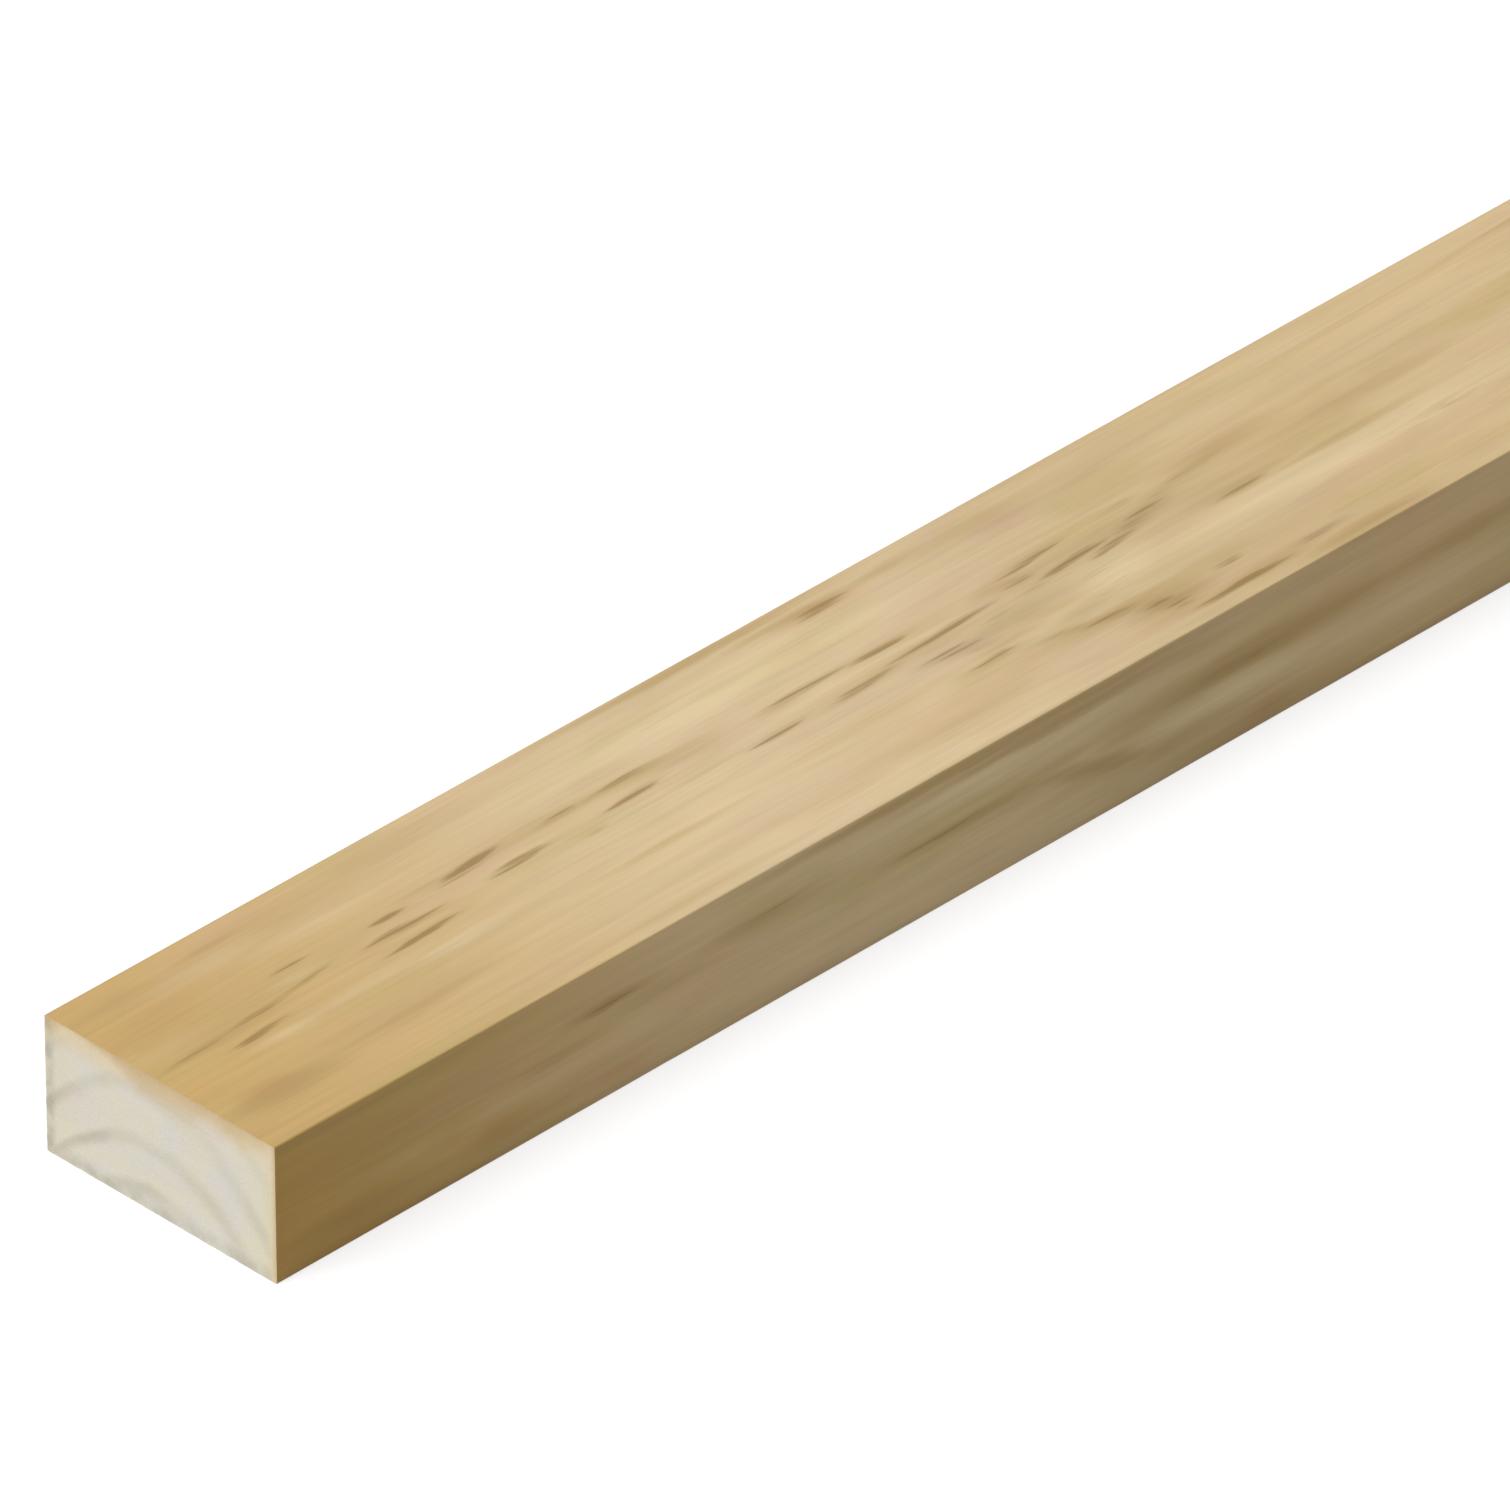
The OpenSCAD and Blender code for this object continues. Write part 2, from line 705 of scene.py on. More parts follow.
@dataclass(frozen=True)
class GrainField:
    """Draws the grain in a tree, of a material or of a shape, alike in each. Lengths are mm."""

    stock: Stock
    rings: GrowthRings = GrowthRings()
    # Late wood comes in before a year's end and stops past it, by shares of a ring, and shows in patches
    late_rise: Turn = Turn(-0.3, -0.05)
    late_fall: Turn = Turn(0.0, 0.05, 1.0, 0.0)
    late_patches: Patches = Patches(Noise((70.0, 9.0, 9.0), 27.5), Turn(0.35, 0.65, 0.15, 1.0))
    # Fine fibres, strokes of them, broader bands and clouds
    fibre: Noise = Noise((34.0, 0.8, 0.8), 21.3, 3.0)
    stroke: Noise = Noise((44.0, 1.5, 1.5), 37.6, 1.0)
    band: Noise = Noise((120.0, 4.5, 4.5), 14.9, 3.0)
    cloud: Noise = Noise((75.0, 11.0, 11.0), 48.2)
    # Small dashes, the groups that they come in, and how much of them early wood shows and late wood adds
    dashes: Patches = Patches(Noise((19.0, 1.4, 1.4), 5.4, 1.0), Turn(0.56, 0.72))
    dash_groups: Patches = Patches(Noise((46.0, 12.0, 12.0), 67.9), Turn(0.4, 0.62, 0.15, 1.0))
    early_dash_share: float = 0.25
    late_dash_share: float = 0.75
    # Dashes and later flecks are thick by the arches' tops and gone to the side of them
    by_tops: Turn = Turn(6.0, 32.0, 1.0, 0.0)
    # Flecks past the placed ones, and where they come in, by shares of the plank's length
    later_flecks: Patches = Patches(Noise((30.0, 4.4, 4.4), 19.3, 1.0), Turn(0.57, 0.74))
    later_on: Turn = Turn(0.37, 0.43, 0.0, 0.8)
    # The waver in a mark's outline
    waver: Waver = Waver(Noise((22.0, 5.0, 5.0), 33.0), (6.0, 2.6, 2.6))

    def lay(self, position: Signal) -> Grain:
        """Draws the grain.

        Args:
            position: Where it is read, in metres.

        Returns:
            The grain's signals.
        """
        size = self.stock.size_mm
        place = self.stock.place(position)
        along, across, height = place.parts()
        share = along / size.x
        year_end, aside = self.rings.lay(place, share)
        late = self.late_rise.lay(year_end) * self.late_fall.lay(year_end)
        by_tops = self.by_tops.lay(aside)
        dashes = self.dashes.lay(place) * by_tops * self.dash_groups.lay(place)
        later = self.later_flecks.lay(place) * self.later_on.lay(share) * by_tops
        stains = self.stains(place)
        stains[Stain.FLECK] = stains[Stain.FLECK].larger(later)
        return Grain(
            size, place, along, across, height, share, year_end,
            late=late * self.late_patches.lay(place),
            fibre=self.fibre.lay(place),
            stroke=self.stroke.lay(place),
            band=self.band.lay(place),
            cloud=self.cloud.lay(place),
            dash=dashes * (late * self.late_dash_share + self.early_dash_share),
            stains=stains,
        )

    def stains(self, place: Signal) -> dict[Stain, Signal]:
        """Draws the placed marks, with wavering outlines.

        Args:
            place: Where they are read.

        Returns:
            How strongly each kind of stain shows, from 0 to 1.
        """
        wavered = self.waver.lay(place)
        shown: dict[Stain, Signal] = {}
        for group in MARKS:
            laid = group.lay(wavered, self.stock.size_mm)
            shown[group.stain] = shown[group.stain].larger(laid) if group.stain in shown else laid
        return shown


# Finishes


@dataclass(frozen=True)
class Finish:
    """A timber surface: a Principled material whose colour, roughness and relief follow the grain."""

    name: str
    specular: float

    def colour(self, grain: Grain) -> Signal:
        """Draws the colour."""
        raise NotImplementedError

    def roughness(self, grain: Grain) -> Signal:
        """Draws the roughness."""
        raise NotImplementedError

    def height(self, grain: Grain) -> Signal:
        """Draws the fine relief, in mm."""
        raise NotImplementedError

    def material(self, field: GrainField) -> bpy.types.Material:
        """Makes the material.

        Args:
            field: The grain that it follows.

        Returns:
            The material.
        """
        made = bpy.data.materials.new(self.name)
        pen = NodePen.clean(made)
        grain = field.lay(pen.signal("ShaderNodeTexCoord", {}, "Object"))
        surface = pen.signal("ShaderNodeBsdfPrincipled", {
            "Base Color": self.colour(grain),
            "Roughness": self.roughness(grain),
            "Specular IOR Level": self.specular,
            "Normal": pen.signal("ShaderNodeBump", {"Distance": MM, "Height": self.height(grain)}),
        })
        pen.node("ShaderNodeOutputMaterial", {"Surface": surface})
        return made


@dataclass(frozen=True)
class PlanedFinish(Finish):
    """The planed faces: tan softwood with dark flecks, warmer towards its ends. Lengths are mm."""

    name: str = "planed_timber"
    specular: float = 0.25
    pale: Colour = shade(214, 191, 152)
    warm: Colour = shade(198, 164, 106)
    late_wood: Colour = shade(180, 150, 98)
    fleck: Colour = shade(136, 108, 56)
    bright: Colour = shade(228, 208, 168)
    ochre: Colour = shade(182, 132, 76)
    rose: Colour = shade(206, 168, 140)
    olive: Colour = shade(194, 172, 112)
    # How warm and how light the timber is, and how deep the painted shade on its narrow faces is, along its
    # length
    warmth: CurvePoints = (
        (0.0, 1.0), (0.04, 0.85), (0.1, 0.42), (0.15, 0.1), (0.2, 0.0), (0.3, 0.2), (0.35, 0.36), (0.42, 0.3),
        (0.6, 0.25), (0.75, 0.1), (0.9, 0.5), (1.0, 1.0),
    )
    lightness: CurvePoints = (
        (0.0, 0.99), (0.12, 0.985), (0.19, 0.985), (0.26, 0.955), (0.32, 0.92), (0.37, 0.94), (0.5, 0.98),
        (1.0, 0.99),
    )
    narrow_shade_along: CurvePoints = (
        (0.0, 1.0), (0.03, 0.7), (0.07, 0.35), (0.15, 0.05), (0.5, 0.0), (0.85, 0.05), (0.95, 0.5),
        (1.0, 1.0),
    )
    # Painted shade on the narrow faces, a tint that darkens and warms them: its tint away from the ends and
    # at them, and how far in from an edge it reaches
    narrow_shade_tint: Colour = (1.0, 0.98, 0.9, 1.0)
    narrow_end_shade_tint: Colour = (0.82, 0.74, 0.48, 1.0)
    narrow_shade_reach: Turn = Turn(0.3, 0.9, 1.0, 0.0)
    olive_blotches: Patches = Patches(Noise((60.0, 15.0, 15.0), 41.7), Turn(0.5, 0.72, 0.0, 0.45))
    rose_blotches: Patches = Patches(Noise((60.0, 15.0, 15.0), 57.2), Turn(0.54, 0.76, 0.0, 0.3))
    # How much late wood and dashes show, by shares of the plank's length
    late_shown: Turn = Turn(0.3, 0.5, 0.18, 0.5)
    dash_shown: Turn = Turn(0.36, 0.5, 0.16, 0.4)
    # How much of the stains shows
    ochre_share: float = 0.6
    rose_share: float = 0.6
    pale_share: float = 0.75
    # How far bands break up the shades, and how dark both come out
    band_break: float = 0.9
    band_shown: Turn = Turn(0.05, 0.95, 0.0, 0.8)
    # How far strokes and fibres break up the flecks, how much further in the midst of one, how dark they come
    # out, and how dark a fleck is at least
    stroke_break: float = 0.8
    fibre_break: float = 0.9
    midst_break: float = 1.1
    fleck_shown: Turn = Turn(0.2, 0.9, 0.0, 0.72)
    fleck_share: float = 0.34
    # How far clouds, bands, strokes, fibres and the painted shade just above the underside change the
    # lightness
    cloud_weight: float = 0.2
    band_weight: float = 0.18
    stroke_weight: float = 0.13
    fibre_weight: float = 0.17
    underside_shade: Turn = Turn(1.0, 3.4, 0.07, 0.0)
    # The mean roughness, how far fibres change it, and how much glossier late wood is
    mean_roughness: float = 0.62
    fibre_roughness: float = 0.2
    late_gloss: float = 0.08
    # Relief of fibres and of strokes
    fibre_relief: float = 0.05
    stroke_relief: float = 0.04

    def colour(self, grain: Grain) -> Signal:
        """Draws the colour.

        Args:
            grain: The grain's signals.

        Returns:
            The colour.
        """
        place, share, stains = grain.place, grain.share, grain.stains
        flecks = stains[Stain.FLECK]
        cloud, band, stroke, fibre = (
            noise.centred() for noise in (grain.cloud, grain.band, grain.stroke, grain.fibre)
        )
        streaks = (stroke * self.stroke_break + fibre * self.fibre_break) * (flecks * self.midst_break + 1.0)
        ground = share.curve(self.warmth).mix(self.pale, self.warm).coated(
            (self.olive_blotches.lay(place), self.olive),
            (self.rose_blotches.lay(place), self.rose),
            (grain.late * self.late_shown.lay(share), self.late_wood),
            (stains[Stain.OCHRE] * self.ochre_share, self.ochre),
            (stains[Stain.ROSE] * self.rose_share, self.rose),
            (stains[Stain.PALE] * self.pale_share, self.bright),
            (self.band_shown.lay(stains[Stain.SHADE] + band * self.band_break), self.late_wood),
            (self.fleck_shown.lay(flecks + streaks).larger(flecks * self.fleck_share), self.fleck),
            (grain.dash * self.dash_shown.lay(share), self.fleck),
        )
        # Painted shade: a tint darkens and warms the narrow faces, most strongly near the ends
        tint = share.curve(self.narrow_shade_along).mix(self.narrow_shade_tint, self.narrow_end_shade_tint)
        narrow = self.narrow_shade_reach.lay(grain.across.nearer(grain.size.y))
        weighed = cloud * self.cloud_weight + band * self.band_weight + stroke * self.stroke_weight
        # The lightness falls within a few mm of the underside: painted shade
        light = weighed + fibre * self.fibre_weight - self.underside_shade.lay(grain.height) + 1.0
        return ground.coated((narrow, ground.tinted(tint))).tinted(light * share.curve(self.lightness))

    def roughness(self, grain: Grain) -> Signal:
        """Draws the roughness: late wood is a little glossier."""
        rough = grain.fibre.centred() * self.fibre_roughness + self.mean_roughness
        return rough - grain.late * self.late_gloss

    def height(self, grain: Grain) -> Signal:
        """Draws the fine relief: fibres and strokes of them."""
        return grain.fibre * self.fibre_relief + grain.stroke * self.stroke_relief


@dataclass(frozen=True)
class SawnFinish(Finish):
    """The saw-cut ends: pale end grain with faint arches, stained along the top arris. Lengths are mm."""

    name: str = "sawn_end"
    specular: float = 0.15
    cream: Colour = shade(227, 221, 198)
    cool: Colour = shade(224, 219, 209)
    rose: Colour = shade(226, 213, 202)
    arch: Colour = shade(186, 179, 158)
    tan: Colour = shade(206, 178, 132)
    buff: Colour = shade(230, 211, 176)
    # Grey of the back edge's rim and of the painted shade along the underside
    rim: Colour = shade(186, 182, 164)
    # Cool patches, how they fade towards the narrow faces, and rosy ones
    cool_patches: Patches = Patches(Noise((30.0, 14.0, 9.0), 71.3), Turn(0.3, 0.7, 0.2, 1.0))
    cool_reach: Turn = Turn(4.0, 20.0)
    rose_patches: Patches = Patches(Noise((30.0, 14.0, 9.0), 83.9), Turn(0.5, 0.75, 0.0, 0.6))
    # Where an arch starts, is full from and to, and stops, as shares of a ring: start and stop turn with the
    # distance from the back edge
    arch_start: Turn = Turn(35.0, 65.0, -0.34, -0.5)
    arch_full: tuple[float, float] = (-0.08, -0.06)
    arch_stop: Turn = Turn(35.0, 65.0, 0.12, 0.24)
    # How arches fade in patches, high up and low down
    arch_patches: Patches = Patches(Noise((30.0, 12.0, 9.0), 18.4), Turn(0.3, 0.7, 0.55, 0.9))
    arch_high: Turn = Turn(12.0, 26.0, 1.0, 0.5)
    arch_low: Turn = Turn(1.0, 9.0, 0.5, 1.0)
    # How strongly the arches show: share of the width from the back edge, and a share
    arch_shares: CurvePoints = (
        (0.0, 0.95), (0.08, 0.88), (0.15, 0.75), (0.3, 0.68), (0.45, 0.58), (0.6, 0.42), (0.75, 0.4),
        (0.9, 0.48), (1.0, 0.4),
    )
    # How deep the top arris is stained: share of the width from the back edge, and mm
    stain_depth: CurvePoints = (
        (0.0, 3.6), (0.05, 3.2), (0.1, 0.8), (0.2, 1.4), (0.32, 2.4), (0.4, 5.0), (0.48, 5.4), (0.58, 6.4),
        (0.68, 4.2), (0.8, 3.8), (1.0, 2.4),
    )
    # How strongly it is stained: share of the width from the back edge, and a share
    stain_shares: CurvePoints = (
        (0.0, 0.75), (0.05, 0.65), (0.1, 0.4), (0.16, 0.5), (0.25, 0.8), (0.36, 0.95), (0.42, 1.05),
        (0.5, 1.0), (0.58, 0.85), (0.66, 0.88), (0.8, 0.9), (0.9, 0.65), (1.0, 0.75),
    )
    # How the stain fades downwards, by shares of its depth, and the buff wood below it, by distance
    stain_fade: Turn = Turn(-0.4, 2.2, 0.9, 0.0)
    buff_fade: Turn = Turn(1.0, 11.0, 0.9, 0.0)
    # How ragged the stain is, and the part of that in the buff and tan along the front edge
    ragged: Noise = Noise((20.0, 9.0, 9.0), 12.6, 3.0)
    ragged_reach: float = 5.0
    front_ragged_share: float = 0.2
    front_buff: Turn = Turn(1.5, 5.5, 0.6, 0.0)
    front_tan: Turn = Turn(0.0, 2.0, 0.6, 0.0)
    # A grey rim at the back edge, painted shade along the underside, and the smudges in both
    back_rim: Turn = Turn(1.2, 4.6, 0.8, 0.0)
    low_shade_rim: Turn = Turn(1.2, 6.0, 0.65, 0.0)
    smudges: Patches = Patches(Noise((20.0, 7.0, 7.0), 29.8), Turn(0.35, 0.65, 0.3, 1.0))
    # Specks of cut fibre, and the saw's scores with the middle of the saw that left them
    specks: Noise = Noise((4.0, 0.7, 0.7), 91.1, 1.0)
    score: Noise = Noise((2.6, 2.6, 2.6), 53.5)
    saw_middle: Triple = (0.0, 70.0, 190.0)
    # How far both change the lightness, and their relief
    speck_weight: float = 0.16
    score_weight: float = 0.05
    speck_relief: float = 0.06
    score_relief: float = 0.05
    # The least roughness, and what fibres add
    least_roughness: float = 0.8
    fibre_roughness: float = 0.1

    def colour(self, grain: Grain) -> Signal:
        """Draws the colour.

        Args:
            grain: The grain's signals.

        Returns:
            The colour.
        """
        place, across, height = grain.place, grain.across, grain.height
        _, width, thickness = grain.size
        share = across / width
        cooled = self.cool_patches.lay(place) * self.cool_reach.lay(across.nearer(width))
        full_from, full_to = self.arch_full
        rising = grain.year_end.ramp(self.arch_start.lay(across), full_from)
        falling = grain.year_end.ramp(full_to, self.arch_stop.lay(across), 1.0, 0.0)
        shown = self.arch_patches.lay(place) * self.arch_high.lay(height) * self.arch_low.lay(height)
        ragged = self.ragged.lay(place).centred() * self.ragged_reach
        from_top = thickness - height + ragged
        from_front = width - across - ragged * self.front_ragged_share
        # The rim along the underside is painted shade; the one at the back edge is a grey rim
        rims_and_low_shade = self.back_rim.lay(across).larger(self.low_shade_rim.lay(height))
        stained = self.stain_fade.lay(from_top / share.curve(self.stain_depth))
        ground = cooled.mix(self.cream, self.cool).coated(
            (self.rose_patches.lay(place), self.rose),
            (rising * falling * shown * share.curve(self.arch_shares), self.arch),
            (self.buff_fade.lay(from_top), self.buff),
            (rims_and_low_shade * self.smudges.lay(place), self.rim),
            (stained * share.curve(self.stain_shares), self.tan),
            (self.front_buff.lay(from_front), self.buff),
            (self.front_tan.lay(from_front), self.tan),
        )
        specks = self.specks.lay(place).centred() * self.speck_weight
        scores = self.scores(place).centred() * self.score_weight
        return ground.tinted(specks + scores + 1.0)

    def scores(self, place: Signal) -> Signal:
        """Draws the arcs that the saw left, from 0 to 1."""
        return self.score.lay(place.pen.vector("SUBTRACT", place, self.saw_middle).length())

    def roughness(self, grain: Grain) -> Signal:
        """Draws the roughness of cut fibres."""
        return grain.fibre * self.fibre_roughness + self.least_roughness

    def height(self, grain: Grain) -> Signal:
        """Draws the fine relief: cut fibres and scores."""
        specks = self.specks.lay(grain.place) * self.speck_relief
        return specks + self.scores(grain.place) * self.score_relief


# The plank


@dataclass(frozen=True)
class Plank:
    """The plank's solid: a swept section with eased edges and gridded ends. Lengths are metres."""

    stock: Stock
    planed: Finish = PlanedFinish()
    sawn: Finish = SawnFinish()
    # Cells across a wide face, across a narrow face, round an eased edge and along the plank
    wide_cells: int = 92
    narrow_cells: int = 40
    edge_cells: int = 4
    length_cells: int = 300
    # Distances from an end at which extra rows shape its worn arris
    arris_rows: tuple[float, ...] = (0.6 * MM, 1.4 * MM, 2.6 * MM)
    # How deep early wood is sunk below late wood in mm, and the share of that from fibre to fibre
    raised_grain: float = 0.08
    fibre_share: Turn = Turn(0.2, 0.8, 0.6, 1.0)
    # How deep an end's arris and a long edge are worn, by distance from them, both in mm, and where
    worn_arris: Turn = Turn(0.0, 2.2, 0.1, 0.0)
    chips: Patches = Patches(Noise((7.0, 3.0, 3.0), 64.0, 3.0), Turn(0.35, 0.75))
    worn_edge: Turn = Turn(0.2, 2.4, 0.08, 0.0)
    dents: Patches = Patches(Noise((26.0, 6.0, 6.0), 77.0), Turn(0.55, 0.75))
    # Degrees between faces past which their edge stays sharp
    sharp_angle: float = 55.0
    # The bake map: its margin, the top of the walls' strip and the bottom of the ends above it
    bake_margin: float = 0.008
    bake_strip_top: float = 0.79
    bake_end_bottom: float = 0.81

    def section(self) -> np.ndarray:
        """Lays out the section's outline, once round from the underside's back edge.

        Returns:
            The points as rows of y and z.
        """
        reach = self.stock.flat_reach
        low, high = self.stock.flat_heights
        centres = ((-reach, low), (-reach, high), (reach, high), (reach, low))
        cells = (self.wide_cells, self.narrow_cells, self.wide_cells, self.narrow_cells)
        points: list[np.ndarray] = []
        start = np.array((reach, 0.0))
        quarter = math.pi / 2
        # The first round starts straight below its centre
        angle = 3 * quarter
        for centre, count in zip(centres, cells):
            turn = angle - np.linspace(0, quarter, self.edge_cells + 1)
            arc = np.array(centre) + self.stock.edge_radius * np.stack((np.cos(turn), np.sin(turn)), 1)
            shares = np.linspace(0, 1, count, endpoint=False)[:, None]
            points += [start + (arc[0] - start) * shares, arc[:-1]]
            start = arc[-1]
            angle -= quarter
        return np.concatenate(points)

    def stations(self) -> np.ndarray:
        """Lays out where the rows of the sweep stand along the plank.

        Returns:
            The rows' x.
        """
        rows = np.linspace(self.stock.low.x, self.stock.high.x, self.length_cells + 1)
        near = self.stock.low.x + np.array(self.arris_rows)
        far = self.stock.high.x - np.array(self.arris_rows)
        return np.unique(np.concatenate((rows, near, far)))

    def end_points(self, station: float) -> np.ndarray:
        """Lays out the grid inside an end's outline.

        Args:
            station: The end's x.

        Returns:
            The points, from the back edge to the front and then upwards.
        """
        over = np.linspace(self.stock.flat_reach, -self.stock.flat_reach, self.wide_cells + 1)
        up = self.stock.low.z + np.linspace(*self.stock.flat_heights, self.narrow_cells + 1)
        across, heights = np.meshgrid(over, up)
        return np.stack((np.full_like(across, station), across, heights), -1).reshape(-1, 3)

    def wall_faces(self, rows: int, ring: int) -> list[Corners]:
        """Lists the faces of the sweep.

        Args:
            rows: How many rows it has.
            ring: How many points a row has.

        Returns:
            The faces, row by row.
        """
        row = np.arange(rows - 1)[:, None] * ring
        here = np.arange(ring)[None, :]
        following = (here + 1) % ring
        faces = np.stack((row + here, row + ring + here, row + ring + following, row + following), -1)
        return faces.reshape(-1, 4).tolist()

    def end_faces(self, rim: int, inner: int) -> list[Corners]:
        """Lists the faces of an end that looks along X.

        Args:
            rim: Index of the outline's first point.
            inner: Index of the inner grid's first point.

        Returns:
            The faces: the grid, the strips round it and a fan in each corner.
        """
        wide, narrow, edge = self.wide_cells, self.narrow_cells, self.edge_cells
        ring = 2 * (wide + narrow) + 4 * edge
        grid = inner + np.arange((wide + 1) * (narrow + 1)).reshape(narrow + 1, wide + 1)
        cells = np.stack((grid[:-1, :-1], grid[1:, :-1], grid[1:, 1:], grid[:-1, 1:]), -1)
        faces = cells.reshape(-1, 4).tolist()
        start = 0
        for side in (grid[0], grid[:, -1], grid[-1, ::-1], grid[::-1, 0]):
            inside = side.tolist()
            steps = len(inside) - 1
            outline = [rim + (start + step) % ring for step in range(steps + edge + 1)]
            faces += zip(outline, inside, inside[1:], outline[1:])
            arc = outline[steps:]
            faces += [(before, inside[-1], after) for before, after in zip(arc, arc[1:])]
            start += steps + edge
        return faces

    def build(self, field: GrainField) -> bpy.types.Object:
        """Builds and dresses the plank.

        Args:
            field: The grain that its relief and finishes follow.

        Returns:
            The plank.
        """
        section = self.section()
        stations = self.stations()
        ring = len(section)
        rows = len(stations)
        swept = np.empty((rows, ring, 3))
        swept[..., 0] = stations[:, None]
        swept[..., 1:] = section + (0.0, self.stock.low.z)
        near, far = (self.end_points(station) for station in (stations[0], stations[-1]))
        points = np.concatenate((swept.reshape(-1, 3), near, far))
        walls = self.wall_faces(rows, ring)
        inner = rows * ring
        near_end = [face[::-1] for face in self.end_faces(0, inner)]
        far_end = self.end_faces(inner - ring, inner + len(near))
        mesh = bpy.data.meshes.new("timber_plank")
        mesh.from_pydata(points.tolist(), [], walls + near_end + far_end)
        for finish in (self.planed, self.sawn):
            mesh.materials.append(finish.material(field))
        slots = np.zeros(len(mesh.polygons), np.int32)
        slots[len(walls):] = 1
        mesh.polygons.foreach_set("material_index", slots)
        spots = [points[np.concatenate(faces)] for faces in (walls, near_end, far_end)]
        self.lay_bake_map(mesh, section, spots)
        plank = bpy.data.objects.new("timber_plank", mesh)
        bpy.context.scene.collection.objects.link(plank)
        self.raise_grain(plank, field)
        plank.data.shade_smooth()
        plank.data.set_sharp_from_angle(angle=math.radians(self.sharp_angle))
        return plank

    def lay_bake_map(self, mesh: bpy.types.Mesh, section: np.ndarray, spots: list[np.ndarray]) -> None:
        """Lays out the map that surfaces are baked through: the walls as one strip, and the ends above it.

        Args:
            mesh: The mesh.
            section: The section's outline.
            spots: Where the corners of the walls', the near end's and the far end's faces are.
        """
        margin, end_bottom = self.bake_margin, self.bake_end_bottom
        walls, *ends = ((group - np.array(self.stock.low)) / np.array(self.stock.size) for group in spots)
        laps = np.linalg.norm(np.diff(section, axis=0, append=section[:1]), axis=1)
        travelled = np.concatenate(((0.0,), np.cumsum(laps))) / laps.sum()
        # A wall's first two corners lie on one line of the sweep, and its last two on the following line
        turned = np.resize(travelled[np.arange(len(section))[:, None] + (0, 0, 1, 1)], len(walls))
        along = margin + walls[:, 0] * (1 - 2 * margin)
        aside = margin + turned * (self.bake_strip_top - margin)
        flat = [np.stack((along, aside), 1)]
        for left, end in zip((0.0, MIDDLE), ends):
            over = left + margin + end[:, 1] * (MIDDLE - 2 * margin)
            up = end_bottom + end[:, 2] * (1 - margin - end_bottom)
            flat.append(np.stack((over, up), 1))
        layer = mesh.uv_layers.new(name="OFBake")
        layer.uv.foreach_set("vector", np.concatenate(flat).ravel())

    def raise_grain(self, plank: bpy.types.Object, field: GrainField) -> None:
        """Sinks the early wood and wears the arrises, within the plank's box.

        Args:
            plank: The plank, which gets the new shape.
            field: The grain that the relief follows.
        """
        tree = bpy.data.node_groups.new("raised_grain", "GeometryNodeTree")
        for way in ("INPUT", "OUTPUT"):
            tree.interface.new_socket("Geometry", in_out=way, socket_type="NodeSocketGeometry")
        pen = NodePen(tree)
        depth = self.depth(field.lay(pen.signal("GeometryNodeInputPosition", {})))
        push = {"Vector": pen.signal("GeometryNodeInputNormal", {}), "Scale": depth * -MM}
        offset = pen.signal("ShaderNodeVectorMath", push, operation="SCALE")
        shape = {"Geometry": pen.signal("NodeGroupInput", {}), "Offset": offset}
        pen.node("NodeGroupOutput", {"Geometry": pen.signal("GeometryNodeSetPosition", shape)})
        relief = plank.modifiers.new("raised_grain", "NODES")
        relief.node_group = tree
        shapes = bpy.context.evaluated_depsgraph_get()
        shapes.update()
        plain = plank.data
        plank.data = bpy.data.meshes.new_from_object(plank.evaluated_get(shapes))
        plank.modifiers.remove(relief)
        bpy.data.meshes.remove(plain)
        plank.data.name = "timber_plank"

    def depth(self, grain: Grain) -> Signal:
        """Works out how deep the surface lies below the plank's box.

        Args:
            grain: The grain's signals.

        Returns:
            The depth in mm.
        """
        distances = zip((grain.along, grain.across, grain.height), grain.size)
        from_end, from_narrow, from_wide = (distance.nearer(span) for distance, span in distances)
        from_arris = from_end.larger(from_narrow.smaller(from_wide))
        from_edge = from_narrow.larger(from_wide)
        worn_arris = self.worn_arris.lay(from_arris) * self.chips.lay(grain.place)
        worn_edge = self.worn_edge.lay(from_edge) * self.dents.lay(grain.place)
        sunk = (1.0 - grain.late) * self.raised_grain * self.fibre_share.lay(grain.fibre)
        return sunk + worn_arris + worn_edge


# The studio


@dataclass(frozen=True)
class Lamp:
    """A broad even light from one side."""

    name: str
    # Where it hangs, as seen from the plank
    towards: Triple
    # A level of 1 renders a face square to the lamp as its colour is
    level: float
    # Degrees of the sky that it fills
    spread: float

    def build(self) -> bpy.types.Object:
        """Hangs the lamp.

        Returns:
            The lamp.
        """
        light = bpy.data.lights.new(self.name, "SUN")
        light.energy = self.level * math.pi
        light.angle = math.radians(self.spread)
        lamp = bpy.data.objects.new(self.name, light)
        lamp.rotation_euler = Vector(self.towards).to_track_quat("Z", "Y").to_euler()
        bpy.context.scene.collection.objects.link(lamp)
        return lamp


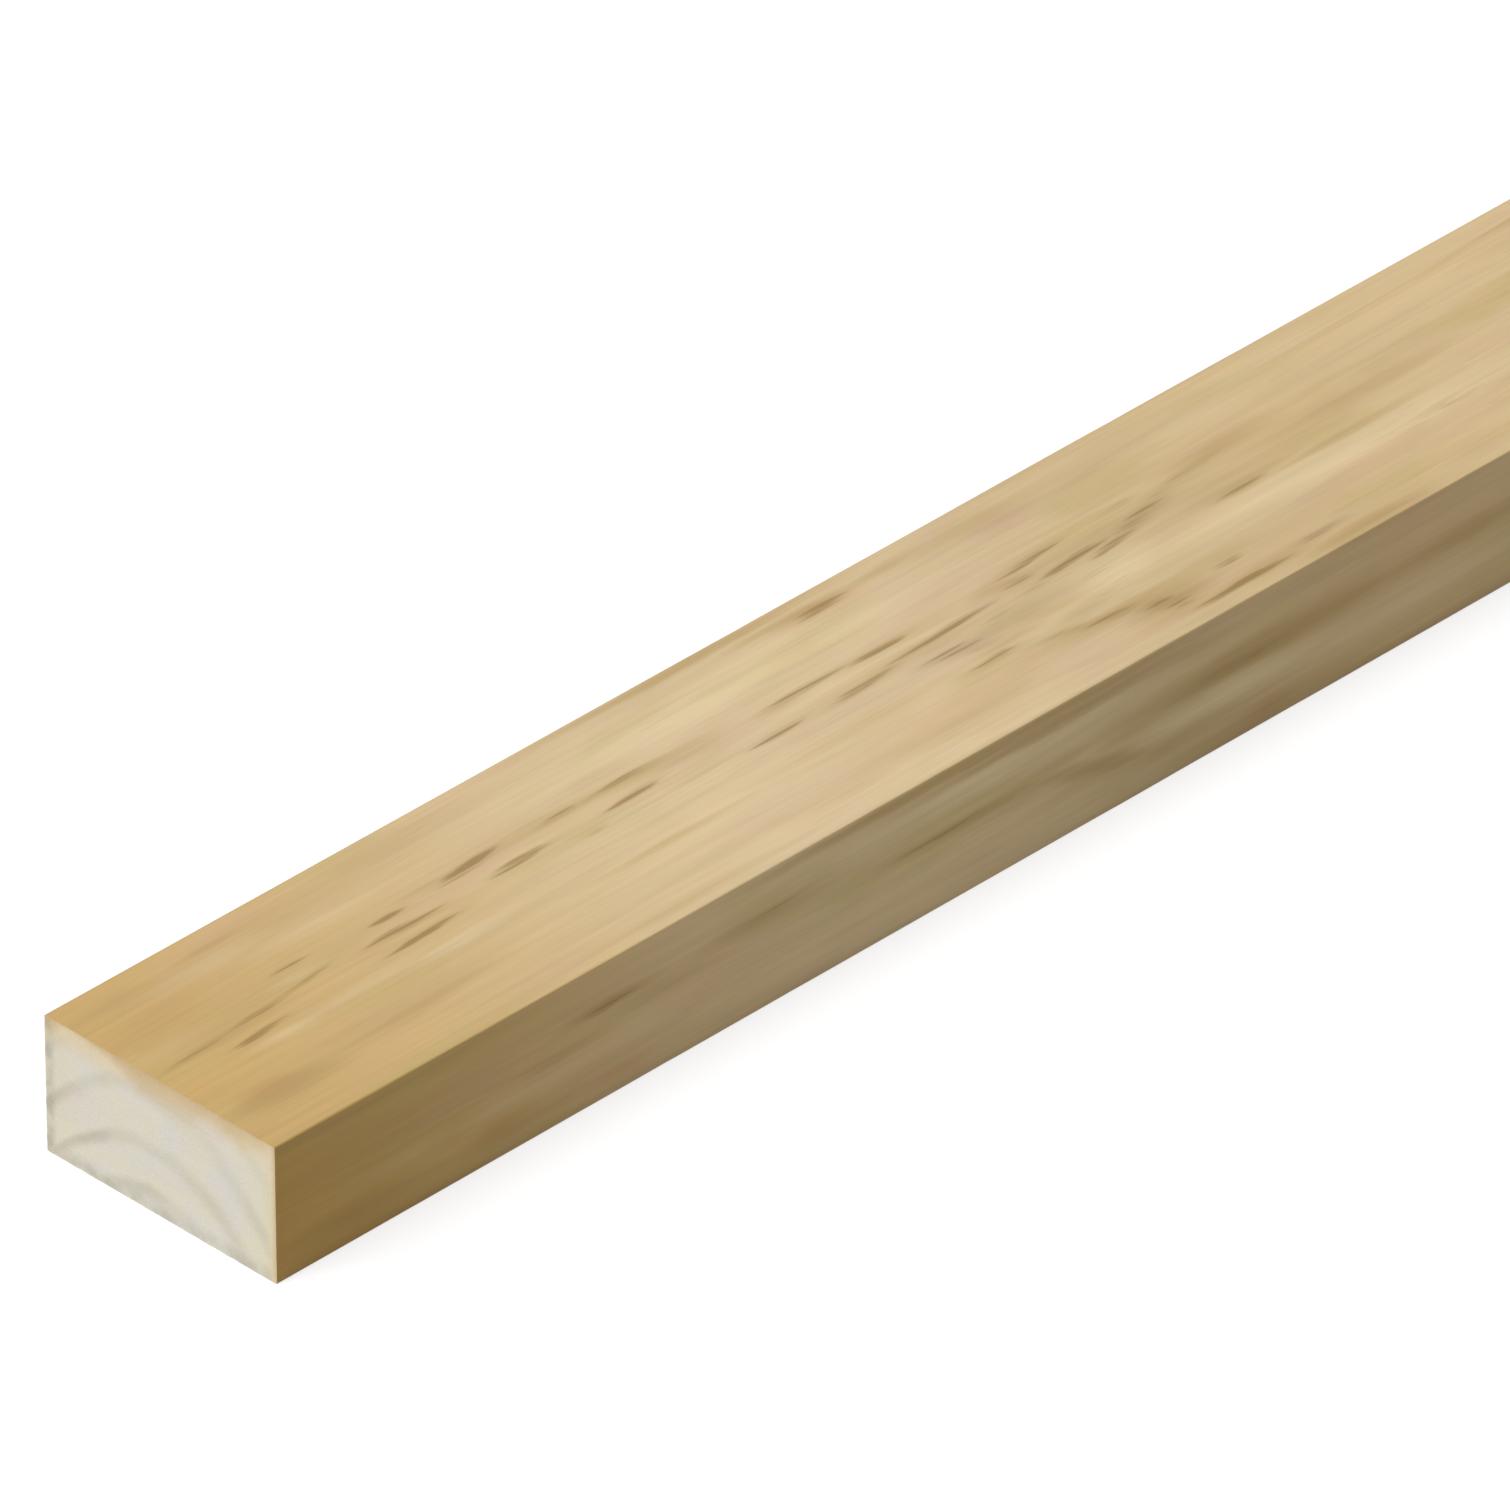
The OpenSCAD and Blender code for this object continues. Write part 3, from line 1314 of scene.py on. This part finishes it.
@dataclass(frozen=True)
class Studio:
    """The floor, the lamps and the camera. Lengths are metres and angles degrees."""

    stock: Stock
    # Half the floor's side, and how many times as far the camera sees
    floor_reach: float = 150.0
    sight_share: float = 4.0
    # What the floor throws back at the plank, and what of its own shade the camera sees
    floor_bounce: float = 0.5
    floor_shade: float = 0.32
    floor_glow: float = 0.72
    # Light from all round, and how bright the camera sees it
    ambient: float = 0.25
    backdrop: float = 1.0
    lamps: tuple[Lamp, ...] = (
        Lamp("key", (-0.62, 0.12, 0.77), 0.85, 30.0),
        Lamp("fill", (0.45, -0.6, 0.66), 0.11, 60.0),
        Lamp("far", (1.0, 0.0, 0.05), 0.7, 20.0),
    )
    # The camera's place as seen from its aim, and its lens and film width in mm
    azimuth: float = -44.669
    elevation: float = 34.074
    roll: float = -0.318
    distance: float = 7.33034
    lens: float = 628.49
    film_width: float = 36.0
    # The aim's distance from the near end and from the front edge
    aim_along: float = 0.271058
    aim_from_front: float = 0.08943

    def build(self) -> None:
        """Builds the floor, the light and the camera."""
        self.build_floor()
        self.build_world()
        for lamp in self.lamps:
            lamp.build()
            LOG.info("lamp %s at level %.2f", lamp.name, lamp.level)
        self.build_camera()

    def show(self, pen: NodePen, output: str, lit: Signal, seen: Signal) -> None:
        """Ends a tree in two shaders: one for the light, and one that the camera sees, also in a reflection.

        Args:
            pen: The tree's pen.
            output: The type of the tree's output.
            lit: What the light meets.
            seen: What the camera sees.
        """
        path = pen.node("ShaderNodeLightPath", {})
        rays = [Signal(pen, path.outputs[f"Is {kind} Ray"]) for kind in ("Camera", "Glossy", "Transmission")]
        choice = pen.signal("ShaderNodeMixShader", {0: reduce(Signal.larger, rays), 1: lit, 2: seen})
        pen.node(output, {"Surface": choice})

    def build_floor(self) -> bpy.types.Object:
        """Lays the floor, white to the camera but for the plank's shadow.

        Returns:
            The floor.
        """
        made = bpy.data.materials.new("studio_floor")
        pen = NodePen.clean(made)
        bounce = pen.signal("ShaderNodeBsdfDiffuse", {"Color": grey(self.floor_bounce)})
        shadowed = pen.signal("ShaderNodeBsdfDiffuse", {"Color": grey(self.floor_shade)})
        glow = pen.signal("ShaderNodeEmission", {"Strength": self.floor_glow})
        white = pen.signal("ShaderNodeAddShader", {0: shadowed, 1: glow})
        self.show(pen, "ShaderNodeOutputMaterial", bounce, white)
        reach = self.floor_reach
        mesh = bpy.data.meshes.new("studio_floor")
        corners = ((-reach, -reach), (reach, -reach), (reach, reach), (-reach, reach))
        mesh.from_pydata([(*corner, self.stock.low.z) for corner in corners], [], [range(len(corners))])
        mesh.materials.append(made)
        floor = bpy.data.objects.new("studio_floor", mesh)
        bpy.context.scene.collection.objects.link(floor)
        LOG.info("floor %.0f m wide", 2 * reach)
        return floor

    def build_world(self) -> None:
        """Sets the light from all round, which the camera sees as white."""
        world = bpy.data.worlds.new("studio_world")
        pen = NodePen.clean(world)
        light, backdrop = (
            pen.signal("ShaderNodeBackground", {"Color": grey(1.0), "Strength": strength})
            for strength in (self.ambient, self.backdrop)
        )
        self.show(pen, "ShaderNodeOutputWorld", light, backdrop)
        bpy.context.scene.world = world
        bpy.context.scene.view_settings.view_transform = "Standard"

    def build_camera(self) -> bpy.types.Object:
        """Sets the camera at the photograph's viewing angle.

        Returns:
            The camera.
        """
        turn, tilt, roll = (math.radians(angle) for angle in (self.azimuth, self.elevation, self.roll))
        back = Vector((math.sin(turn) * math.cos(tilt), -math.cos(turn) * math.cos(tilt), math.sin(tilt)))
        level = Vector((math.cos(turn), math.sin(turn), 0.0))
        upright = back.cross(level)
        right = level * math.cos(roll) + upright * math.sin(roll)
        up = upright * math.cos(roll) - level * math.sin(roll)
        aim = self.stock.low + Vector((self.aim_along, self.aim_from_front, 0.0))
        optics = bpy.data.cameras.new("camera")
        optics.sensor_width = self.film_width
        optics.lens = self.lens
        optics.clip_end = self.sight_share * self.floor_reach
        camera = bpy.data.objects.new("camera", optics)
        axes = Matrix((right, up, back)).transposed().to_4x4()
        camera.matrix_world = Matrix.Translation(aim + back * self.distance) @ axes
        bpy.context.scene.collection.objects.link(camera)
        bpy.context.scene.camera = camera
        LOG.info("camera %.2f m away with a %.0f mm lens", self.distance, self.lens)
        return camera


def main() -> None:
    """Builds the plank and the studio round it."""
    logging.basicConfig(level=logging.INFO, format="%(message)s")
    stock = Stock.measured("plank")
    plank = Plank(stock).build(GrainField(stock))
    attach(plank, "root")
    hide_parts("plank")
    LOG.info("%s: %d faces", plank.name, len(plank.data.polygons))
    Studio(stock).build()


if __name__ == "__main__":
    main()
